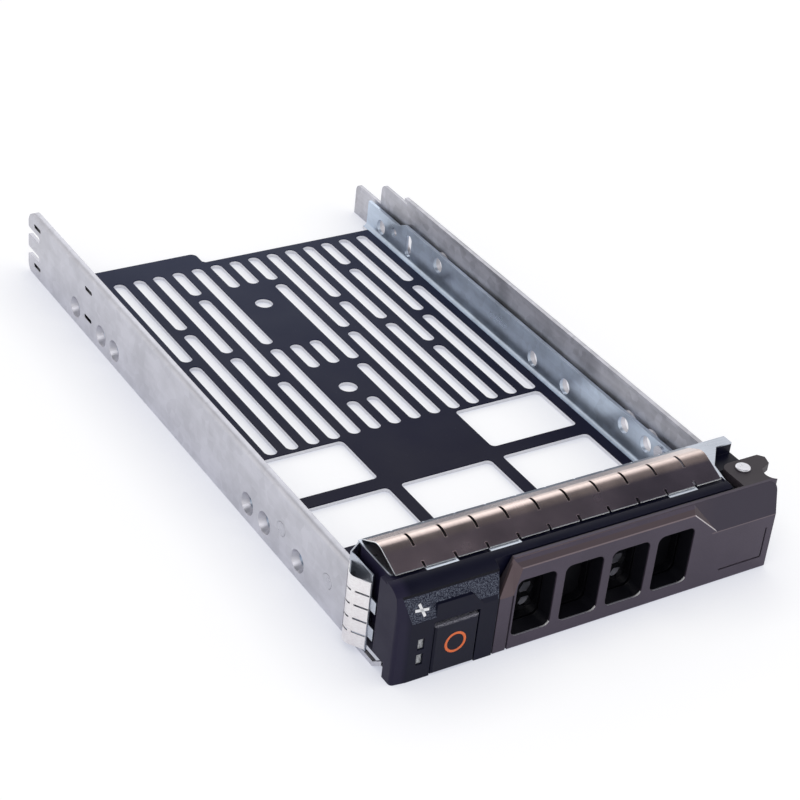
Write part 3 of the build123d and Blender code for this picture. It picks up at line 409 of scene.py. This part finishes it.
def plated_sheet(name, colour, radius, contrast, roughness, shaded_slits=(), cut_edge_top=None):
    """Zinc-plated sheet: faint crystal cells, rolled streaks and soft stains.

    Painted shade darkens the inner side at the shaded_slits, and below cut_edge_top the freshly cut edges are
    paler.
    """
    finish = Finish(name)
    cell = finish.cells(2.6 * MM)
    streak = finish.noise(1.4 * MM, detail=3.0, stretch=(1, 14, 1))
    stain = finish.noise(11 * MM, detail=5.0)
    shade = finish.ease(cell * 0.16 + streak * 0.35 + stain * 1.1, 0.6, 1.0)
    base = finish.blend(tint(colour, 1 - contrast), tint(colour, 1 + contrast), shade)
    if shaded_slits:
        inside = finish.axis("X") > LEFT_X + 0.1 * MM
        along, height = finish.axis("Y"), finish.axis("Z")
        # painted shade: the rail's inner side is darkened at each slit
        slit_shade = sum(along.near(y, SLIT_REACH_Y) * height.near(z, SLIT_REACH_Z) for y, z in shaded_slits)
        base = finish.blend(base, SLIT_SHADE, inside * slit_shade)
    if cut_edge_top is not None:
        cut_edge = (finish.axis("Z") < cut_edge_top) * (finish.facing("Z") < 0.5)
        base = finish.blend(base, CUT_ZINC, cut_edge)
    rough = finish.ease(stain + streak * 0.4, 0.4, 0.95, start=roughness - 0.07, end=roughness + 0.09)
    normal = finish.relief(streak + cell * 0.25, strength=0.12, distance=0.05 * MM, radius=radius)
    return finish.surface(base_color=base, metallic=0.86, roughness=rough, normal=normal)


def bright_sheet(name, colour, radius, roughness, streak_axis):
    """Bright spring or bracket steel: fine brushed streaks and dull patches."""
    finish = Finish(name)
    stretch = [22 if axis == streak_axis else 1 for axis in "XYZ"]
    streak = finish.noise(0.35 * MM, stretch=stretch)
    patch = finish.noise(6 * MM, detail=3.0)
    shade = finish.ease(streak * 0.6 + patch * 0.5, 0.35, 0.8)
    base = finish.blend(tint(colour, 0.86), tint(colour, 1.12), shade)
    rough = finish.ease(patch, 0.3, 0.75, start=roughness - 0.04, end=roughness + 0.06)
    normal = finish.relief(streak, strength=0.12, distance=0.02 * MM, radius=radius)
    return finish.surface(base_color=base, metallic=1.0, roughness=rough, normal=normal)


def finger_steel(name, colour, radius):
    """The top strip's spring steel, with painted reflections: a dark slope, a bright crest and a grey heel; and
    painted highlights on its sheared edges.
    """
    finish = Finish(name)
    across, back = finish.axis("X"), finish.axis("Y")
    streak = finish.noise(0.35 * MM, stretch=(1, 22, 1))
    patch = finish.noise(8 * MM, detail=3.0)
    share = finish.ease(back - GASKET_LOW.y, 0.0, GASKET_HIGH.y - GASKET_LOW.y)
    # painted reflections: a bright crest and a grey heel, by depth
    crest = finish.node("ShaderNodeValToRGB", {"stops": CREST_REFLECTIONS}, [share])
    # painted reflection: the slope is lighter towards its left end
    slope = finish.blend(SLOPE_LEFT_REFLECTION, colour, finish.ease(across, *SLOPE_REFLECTION_FADE))
    tone = finish.blend(slope, crest, finish.ease(share, *CREST_REFLECTION_START))
    mottle = finish.blend(DULL_PATCH, WHITE, finish.ease(streak * 0.4 + patch, 0.4, 0.95))
    base = finish.blend(tone, mottle, 1.0, "MULTIPLY")
    # painted highlight on the strip's sheared edges
    sheared = (across < GASKET_LOW.x + 0.08 * MM) + (back < GASKET_LOW.y + 0.22 * MM)
    base = finish.blend(base, SHEARED_EDGE_HIGHLIGHT, sheared)
    rough = finish.ease(patch, 0.3, 0.75, start=0.22, end=0.28)
    normal = finish.relief(streak, strength=0.08, distance=0.02 * MM, radius=radius)
    return finish.surface(base_color=base, metallic=1.0, roughness=rough, normal=normal)


def turned_steel(name, colour, radius):
    """Small plated hardware: fine scratches and slightly dull stains."""
    finish = Finish(name)
    scratch = finish.noise(0.25 * MM, detail=3.0, stretch=(1, 6, 1))
    stain = finish.noise(1.6 * MM)
    base = finish.blend(tint(colour, 0.78), tint(colour, 1.12), stain)
    rough = finish.ease(scratch + stain, 0.6, 1.4, start=0.22, end=0.40)
    normal = finish.relief(scratch, strength=0.12, distance=0.02 * MM, radius=radius)
    return finish.surface(base_color=base, metallic=1.0, roughness=rough, normal=normal)


def insulating_film(name, colour):
    """Matt polyester film: a cloudy tone, a painted sheen that is paler and bluer to the rear, fine dust and a
    very fine grain.
    """
    finish = Finish(name)
    cloud = finish.noise(22 * MM, detail=3.0)
    dust = finish.noise(0.5 * MM)
    speck = finish.ease(dust, 0.72, 0.78)
    tone = finish.blend(tint(colour, 0.85), tint(colour, 1.25), cloud)
    # painted sheen: paler and bluer towards the rear
    tone = finish.blend(tone, FILM_REAR_SHEEN, finish.ease(finish.axis("Y"), *FILM_SHEEN_FADE))
    base = finish.blend(tone, FILM_DUST, speck * 0.25)
    rough = finish.ease(cloud, 0.3, 0.7, start=0.46, end=0.58)
    normal = finish.relief(dust, strength=0.15, distance=0.02 * MM, radius=0.05 * MM)
    return finish.surface(base_color=base, roughness=rough, normal=normal, specular_ior_level=0.12)


def moulded_plastic(name, colour, radius, grain=0.22 * MM, strength=0.25, roughness=0.42, worn_lit_top=None):
    """Moulded black plastic: fine spark-eroded grain and handling marks. Its edge at worn_lit_top is rubbed and
    carries a speckled painted highlight.
    """
    finish = Finish(name)
    fine = finish.noise(grain)
    rub = finish.noise(9 * MM, detail=3.0)
    base = finish.blend(tint(colour, 0.85), tint(colour, 1.3), finish.ease(rub + fine * 0.4, 0.45, 0.95))
    if worn_lit_top is not None:
        # rubbed top edge with a speckled painted highlight
        at_top = finish.ease(finish.axis("Z"), worn_lit_top - 0.5 * MM, worn_lit_top - 0.2 * MM)
        base = finish.blend(base, RUBBED_EDGE_HIGHLIGHT, at_top * finish.ease(fine, 0.4, 0.55))
    rough = finish.ease(rub, 0.3, 0.7, start=roughness - 0.06, end=roughness + 0.08)
    normal = finish.relief(fine, strength=strength, distance=0.03 * MM, radius=radius)
    return finish.surface(base_color=base, roughness=rough, normal=normal, specular_ior_level=0.2)


def bezel_plastic(name, colour, radius, slope_start, slope_tilt):
    """The bezel's black moulding: coarse grain on the sloped front, painted lighter with painted highlights on
    its pebbles and a painted shadow under the crown, satin elsewhere, painted shade behind the vents, painted
    light in the well behind the grille and on the left side.
    """
    finish = Finish(name)
    across, back = finish.axis("X"), finish.axis("Y") - FRONT_Y
    height = finish.axis("Z") - slope_start
    inset = across - LEFT_X
    lean = height * math.tan(slope_tilt)

    on_slope = height.between(*GRAIN_HEIGHTS) * back.between(*[lean + depth for depth in GRAIN_DEPTHS])
    above_button = across.between(BUTTON_LOW.x, BUTTON_HIGH.x) * (height < HOOD_TOP)
    on_slope = on_slope * (inset + height * GRAIN_SLANT > GRAIN_INSET) * (1 - above_button)
    behind_vents = (back > VENT_ROOM_DEPTH) * across.between(*VENT_ROOM_ENDS)
    behind_vents = behind_vents * height.between(*VENT_ROOM_HEIGHTS)
    in_well = back.between(*WELL_DEPTHS) * height.between(*WELL_HEIGHTS)
    # painted light: lighter at the bezel's left side, fading within a few millimetres of it
    side_lit = finish.ease(inset, *SIDE_LIT_FADE, start=1.0, end=0.0) * (1 - on_slope)

    pebble = finish.ease(finish.noise(0.22 * MM), 0.46, 0.63)
    fine = finish.noise(0.2 * MM)
    rub = finish.noise(8 * MM, detail=3.0)
    satin = finish.blend(tint(colour, 0.85), tint(colour, 1.25), rub)
    # painted light: the grained slope is lighter, with painted highlights on its pebble tops
    grained = finish.blend(tint(colour, 1.3), PEBBLE_HIGHLIGHT, pebble)
    grained = finish.blend(grained, tint(colour, 0.5), height.between(*CROWN_SHADOW_HEIGHTS))
    base = finish.blend(satin, grained, on_slope)
    # painted shade on the bezel behind the handle's vents
    base = finish.blend(base, VENT_ROOM_SHADE, behind_vents)
    # painted light: the well behind the grille is grey as if lit
    base = finish.blend(base, WELL_PAINTED_LIGHT, in_well)
    base = finish.blend(base, BEZEL_SIDE_LIT, side_lit)
    rough = finish.ease(rub, 0.3, 0.7, start=0.36, end=0.48) + on_slope * 0.06
    bumps = fine * 0.12 + on_slope * pebble * 1.6
    normal = finish.relief(bumps, strength=0.5, distance=0.05 * MM, radius=radius)
    return finish.surface(base_color=base, roughness=rough, normal=normal, specular_ior_level=0.16)


def satin_charcoal(name, colour, radius):
    """The handle's satin charcoal paint on its front, with tiny metal flakes, and black moulding behind it;
    painted light on the upward band, painted highlights on the ledge, crease, corner and vent rims, and painted
    shade in the vents.
    """
    finish = Finish(name)
    across, back, height = finish.axis("X"), finish.axis("Y") - FRONT_Y, finish.axis("Z")
    upward, rightward = finish.facing("Z"), finish.facing("X")

    lean = finish.ease(height, *LEANING_HEIGHTS, start=0.0, end=BAND_LEAN)
    in_vent = across.between(*VENT_ENDS) * (height < VENT_TOP) * (back > VENT_DEPTH)
    front = (back < lean + PAINT_DEPTH) * (1 - in_vent)
    band = finish.ease(upward, 0.05, 0.15) * (upward < 0.5) * (height > BAND_HEIGHTS[0])
    on_band = height.between(*BAND_HEIGHTS)
    ledge = (upward > 0.5) * on_band
    corner = (rightward > 0.25) * on_band * (across < CORNER_END)
    edge = back < EDGE_DEPTH
    crease = height.between(*CREASE_HEIGHTS) * (across > CREASE_START)
    rim = (upward > 0.4) * (back < VENT_DEPTH) * (height < RIM_TOP) * (across < RIM_END)

    flake = finish.cells(0.09 * MM)
    cloud = finish.noise(12 * MM, detail=3.0)
    shade = finish.ease(flake * 0.35 + cloud * 0.8, 0.3, 0.85)
    face = finish.blend(tint(colour, 0.88), tint(colour, 1.15), shade)
    # painted light: the upward-facing band is lighter, most at its left end
    lit = finish.blend(BAND_LIT_LEFT, BAND_LIT_RIGHT, finish.ease(across, *BAND_LIT_FADE))
    face = finish.blend(face, lit, band)
    # painted highlights along the ledge, the crease and the panel's top edge
    face = finish.blend(face, LEDGE_HIGHLIGHT, ledge)
    face = finish.blend(face, CREASE_HIGHLIGHT, crease * 0.6 + ledge * edge)
    face = finish.blend(face, CORNER_GLEAM, corner * edge)
    # painted shade in the vents; black moulding elsewhere behind the painted front
    base = finish.blend(finish.blend(HANDLE_BACK, HANDLE_VENT_SHADE, in_vent), face, front)
    # painted highlights on the vents' lower rims, with white glints at their right corners
    along_vents = (across - FIRST_GLINT_X) * (1 / VENT_PITCH)
    glint = finish.ease(along_vents.fraction(), 0.62, 0.78)
    base = finish.blend(base, finish.blend(RIM_HIGHLIGHT, WHITE, glint), rim)
    rough = finish.ease(cloud, 0.3, 0.7, start=0.30, end=0.38) + (1 - front) * 0.12
    normal = finish.relief(finish.noise(0.15 * MM), strength=0.10, distance=0.02 * MM, radius=radius)
    return finish.surface(
        base_color=base, metallic=front * 0.45, roughness=rough, normal=normal, specular_ior_level=0.25
    )


def gloss_inlay(name, colour, radius):
    """Glossy coloured inlay with a faint mottle."""
    finish = Finish(name)
    mottle = finish.noise(0.7 * MM)
    base = finish.blend(tint(colour, 0.85), tint(colour, 1.12), mottle)
    rough = finish.ease(mottle, 0.3, 0.7, start=0.28, end=0.4)
    normal = finish.relief(mottle, strength=0.1, distance=0.02 * MM, radius=radius)
    return finish.surface(base_color=base, roughness=rough, normal=normal)


def clear_light_pipe(name):
    """Clear moulded light pipe: a grey, slightly frosted glassy bar."""
    finish = Finish(name)
    frost = finish.noise(0.5 * MM, detail=3.0)
    base = finish.blend(PIPE_SHADE, PIPE_FROST, finish.ease(frost, 0.35, 0.65))
    rough = finish.ease(frost, 0.3, 0.7, start=0.12, end=0.3)
    normal = finish.relief(frost, strength=0.25, distance=0.03 * MM, radius=0.1 * MM)
    return finish.surface(base_color=base, roughness=rough, normal=normal, coat_weight=0.5)


def dress(material, *nodes):
    """Puts one finish on the slots of some CAD nodes."""
    for name in nodes:
        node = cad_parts[name]
        if not node.material_slots:
            node.data.materials.append(material)
        for slot in node.material_slots:
            slot.material = material


def clear_selection():
    """Leaves edit mode and deselects everything."""
    if bpy.context.object and bpy.context.object.mode != "OBJECT":
        bpy.ops.object.mode_set(mode="OBJECT")
    bpy.ops.object.select_all(action="DESELECT")


class CADDY_OT_sheet_metal(bpy.types.Operator):
    """Finish the tray, the rails and their rivets"""

    bl_idname = "caddy.sheet_metal"
    bl_label = "Sheet metal"

    def execute(self, context):
        colours = context.scene.caddy_colours
        radius = context.scene.caddy_sizes.sheet_edge_radius
        slits = [(RAIL_REAR_Y - inset * MM, height * MM) for inset, height in RAIL_SLITS]
        # painted shade: the right rail's zinc is a darker copy of the left rail's, with stronger mottle
        shaded = tint(colours.zinc, 0.84)
        dress(plated_sheet("left_rail_zinc", colours.zinc, radius, 0.11, 0.40, shaded_slits=slits), "left_rail")
        dress(plated_sheet("right_rail_zinc", shaded, radius, 0.24, 0.40), "right_rail")
        dress(plated_sheet("tray_zinc", colours.tray, radius, 0.16, 0.32, cut_edge_top=CUT_EDGE_TOP), "tray")
        dress(turned_steel("rivet_steel", colours.zinc, radius), "rail_rivets")
        return {"FINISHED"}


class CADDY_OT_film(bpy.types.Operator):
    """Finish the insulating film"""

    bl_idname = "caddy.film"
    bl_label = "Insulating film"

    def execute(self, context):
        dress(insulating_film("film_polyester", context.scene.caddy_colours.film), "insulator_film")
        return {"FINISHED"}


class CADDY_OT_bezel(bpy.types.Operator):
    """Finish the bezel, its grille and its light pipes"""

    bl_idname = "caddy.bezel"
    bl_label = "Bezel"

    def execute(self, context):
        sizes = context.scene.caddy_sizes
        black = context.scene.caddy_colours.bezel
        plastic = bezel_plastic("bezel_moulding", black, sizes.edge_radius, sizes.slope_start, sizes.slope_tilt)
        dress(plastic, "bezel")
        dress(moulded_plastic("grille_moulding", GRILLE_BLACK, sizes.edge_radius), "vent_grille")
        dress(clear_light_pipe("light_pipe_clear"), "lower_light_pipe", "upper_light_pipe")
        return {"FINISHED"}


class CADDY_OT_handle(bpy.types.Operator):
    """Finish the handle, its pin, clip and spring"""

    bl_idname = "caddy.handle"
    bl_label = "Handle and pivot"

    def execute(self, context):
        sizes = context.scene.caddy_sizes
        radius = sizes.sheet_edge_radius
        charcoal = context.scene.caddy_colours.handle
        dress(satin_charcoal("handle_satin", charcoal, sizes.edge_radius), "handle")
        dress(turned_steel("pin_steel", PIN_STEEL, radius), "pivot_pin")
        dress(turned_steel("clip_steel", CLIP_STEEL, radius), "pin_clip")
        dress(turned_steel("torsion_wire", SPRING_STEEL, radius), "torsion_spring")
        return {"FINISHED"}


class CADDY_OT_button(bpy.types.Operator):
    """Finish the release button, its ring and its spring"""

    bl_idname = "caddy.button"
    bl_label = "Release button"

    def execute(self, context):
        colours = context.scene.caddy_colours
        sizes = context.scene.caddy_sizes
        plastic = moulded_plastic(
            "button_moulding", colours.bezel, sizes.edge_radius,
            grain=0.18 * MM, strength=0.15, roughness=0.34, worn_lit_top=BUTTON_HIGH.z,
        )
        dress(plastic, "release_button")
        dress(gloss_inlay("ring_inlay", colours.ring, sizes.sheet_edge_radius), "button_ring")
        dress(turned_steel("coil_wire", SPRING_STEEL, sizes.sheet_edge_radius), "button_spring")
        return {"FINISHED"}


class CADDY_OT_shielding(bpy.types.Operator):
    """Finish the shield bracket, the finger gaskets and the bezel's screws"""

    bl_idname = "caddy.shielding"
    bl_label = "Shielding and screws"

    def execute(self, context):
        colours = context.scene.caddy_colours
        radius = context.scene.caddy_sizes.sheet_edge_radius
        dress(bright_sheet("bracket_steel", colours.bracket, radius, 0.30, "X"), "shield_bracket")
        dress(finger_steel("top_gasket_steel", colours.gasket, radius), "top_gasket")
        dress(bright_sheet("side_gasket_steel", SIDE_GASKET_STEEL, radius, 0.36, "Y"), "side_gasket")
        dress(turned_steel("screw_steel", SCREW_STEEL, radius), "bezel_screws")
        return {"FINISHED"}


class CADDY_OT_plus_mark(bpy.types.Operator):
    """Print the plus sign on the bezel's grained slope"""

    bl_idname = "caddy.plus_mark"
    bl_label = "Plus mark"

    def execute(self, context):
        colours = context.scene.caddy_colours
        sizes = context.scene.caddy_sizes
        clear_selection()
        bars = []
        level_turn = math.radians(90) + sizes.plus_level_turn
        for turn, span in ((sizes.plus_upright_turn, sizes.plus_rise), (level_turn, sizes.plus_width)):
            bpy.ops.mesh.primitive_plane_add(size=1, rotation=(0, 0, turn))
            bar = context.object
            bar.scale = (sizes.plus_stroke, span, 1)
            bpy.ops.object.transform_apply(location=False, rotation=True, scale=True)
            bars.append(bar)
        for bar in bars:
            bar.select_set(True)
        bpy.ops.object.join()
        mark = context.object
        mark.name = "plus_mark"
        lean = (sizes.plus_height - sizes.slope_start) * math.tan(sizes.slope_tilt)
        mark.rotation_euler = (math.radians(90) - sizes.slope_tilt, 0, 0)
        mark.location = (LEFT_X + sizes.plus_inset, FRONT_Y + lean, sizes.plus_height)
        bpy.ops.object.transform_apply(location=True, rotation=True, scale=True)
        solid = mark.modifiers.new("print", "SOLIDIFY")
        solid.thickness = sizes.plus_print
        solid.offset = 1.0
        bpy.ops.object.modifier_apply(modifier=solid.name)
        mark.data.materials.append(gloss_inlay("plus_print", colours.mark, sizes.sheet_edge_radius / 4))
        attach(mark, "carrier")
        return {"FINISHED"}


def pale_floor(name):
    """White studio floor that keeps the object's shadow, with a soft bluish painted shadow in its glow."""
    finish = Finish(name)
    base = finish.blend(*PAPER_TONES, finish.noise(0.4))
    diffuse = finish.node("ShaderNodeBsdfDiffuse", values={"Color": base, "Roughness": 0.5})
    # painted shadow: the glow darkens and turns bluish where the object shuts out the open air
    open_air = finish.node("ShaderNodeAmbientOcclusion", {"samples": 12}, {"Distance": SHADOW_REACH}, "AO")
    tone = finish.blend(*SHADOW_TONES, finish.ease(open_air, 0.3, 1.0))
    glow = finish.node("ShaderNodeEmission", values={"Color": tone, "Strength": 1.27})
    camera_ray = finish.node("ShaderNodeLightPath", output="Is Camera Ray")
    glossy_ray = finish.node("ShaderNodeLightPath", output="Is Glossy Ray")
    seen = camera_ray * 0.6 + glossy_ray * 0.5
    return finish.end(finish.node("ShaderNodeMixShader", values=[seen, diffuse, glow]))


def studio_world(name):
    """A room that is bright round the horizon and dim overhead, as soft boxes at the sides leave it."""
    finish = Finish(name, "World")
    tone = finish.blend(*ROOM_TONES, finish.ease(finish.axis("Z"), 0.60, 0.80))
    return finish.end(finish.node("ShaderNodeBackground", values={"Color": tone, "Strength": 0.95}))


def soft_lamp(name, place, aim, size, power, colour):
    """Adds a square studio lamp at a place, turned towards the point it lights."""
    clear_selection()
    bpy.ops.object.light_add(type="AREA", location=place)
    lamp = bpy.context.object
    lamp.name = name
    lamp.rotation_euler = (Vector(aim) - Vector(place)).to_track_quat("-Z", "Y").to_euler()
    lamp.data.shape = "SQUARE"
    lamp.data.size = size
    lamp.data.energy = power
    lamp.data.color = colour


class CADDY_OT_stage(bpy.types.Operator):
    """Set the camera, the floor, the lamps and the world"""

    bl_idname = "caddy.stage"
    bl_label = "Stage"

    def execute(self, context):
        sizes = context.scene.caddy_sizes
        clear_selection()
        bpy.ops.object.camera_add()
        camera = context.object
        turn = Matrix.Rotation(-sizes.camera_azimuth, 4, "Z")
        drop = Matrix.Rotation(math.radians(90) - sizes.camera_drop, 4, "X")
        roll = Matrix.Rotation(sizes.camera_roll, 4, "Z")
        camera.matrix_world = Matrix.Translation(Vector(sizes.camera_place)) @ turn @ drop @ roll
        camera.data.sensor_width = SENSOR_WIDTH
        camera.data.lens = sizes.camera_lens
        camera.data.clip_start = 0.01
        camera.data.clip_end = 50.0
        context.scene.camera = camera

        clear_selection()
        bpy.ops.mesh.primitive_plane_add(size=sizes.floor_size, location=(0, 0, -FLOOR_DROP))
        floor = context.object
        floor.name = "studio_floor"
        bpy.ops.object.transform_apply(location=True, rotation=True, scale=True)
        floor.data.materials.append(pale_floor("floor_paper"))

        for lamp in LAMPS:
            soft_lamp(*lamp)

        context.scene.world = studio_world("studio_world")
        context.scene.view_settings.view_transform = "Standard"
        return {"FINISHED"}


STEPS = (
    CADDY_OT_stage,
    CADDY_OT_sheet_metal,
    CADDY_OT_film,
    CADDY_OT_bezel,
    CADDY_OT_handle,
    CADDY_OT_button,
    CADDY_OT_shielding,
    CADDY_OT_plus_mark,
)


class CADDY_PT_steps(bpy.types.Panel):
    """Lists the caddy's sizes, colours and steps"""

    bl_idname = "CADDY_PT_steps"
    bl_label = "Drive caddy"
    bl_space_type = "VIEW_3D"
    bl_region_type = "UI"
    bl_category = "Caddy"

    def draw(self, context):
        layout = self.layout
        for group in (context.scene.caddy_colours, context.scene.caddy_sizes):
            box = layout.box()
            for name in group.bl_rna.properties.keys():
                if name not in ("rna_type", "name"):
                    box.prop(group, name)
        for step in STEPS:
            layout.operator(step.bl_idname)


CLASSES = (CaddyColours, CaddySizes, *STEPS, CADDY_PT_steps)


def register():
    """Registers the classes and hangs the two groups of properties on the scene."""
    for cls in CLASSES:
        bpy.utils.register_class(cls)
    bpy.types.Scene.caddy_colours = bpy.props.PointerProperty(type=CaddyColours)
    bpy.types.Scene.caddy_sizes = bpy.props.PointerProperty(type=CaddySizes)


def unregister():
    """Takes the properties and the classes away again."""
    del bpy.types.Scene.caddy_sizes
    del bpy.types.Scene.caddy_colours
    for cls in reversed(CLASSES):
        bpy.utils.unregister_class(cls)


def main():
    """Runs every step in order."""
    register()
    for step in STEPS:
        group, name = step.bl_idname.split(".")
        getattr(getattr(bpy.ops, group), name)()


if __name__ == "__main__":
    main()
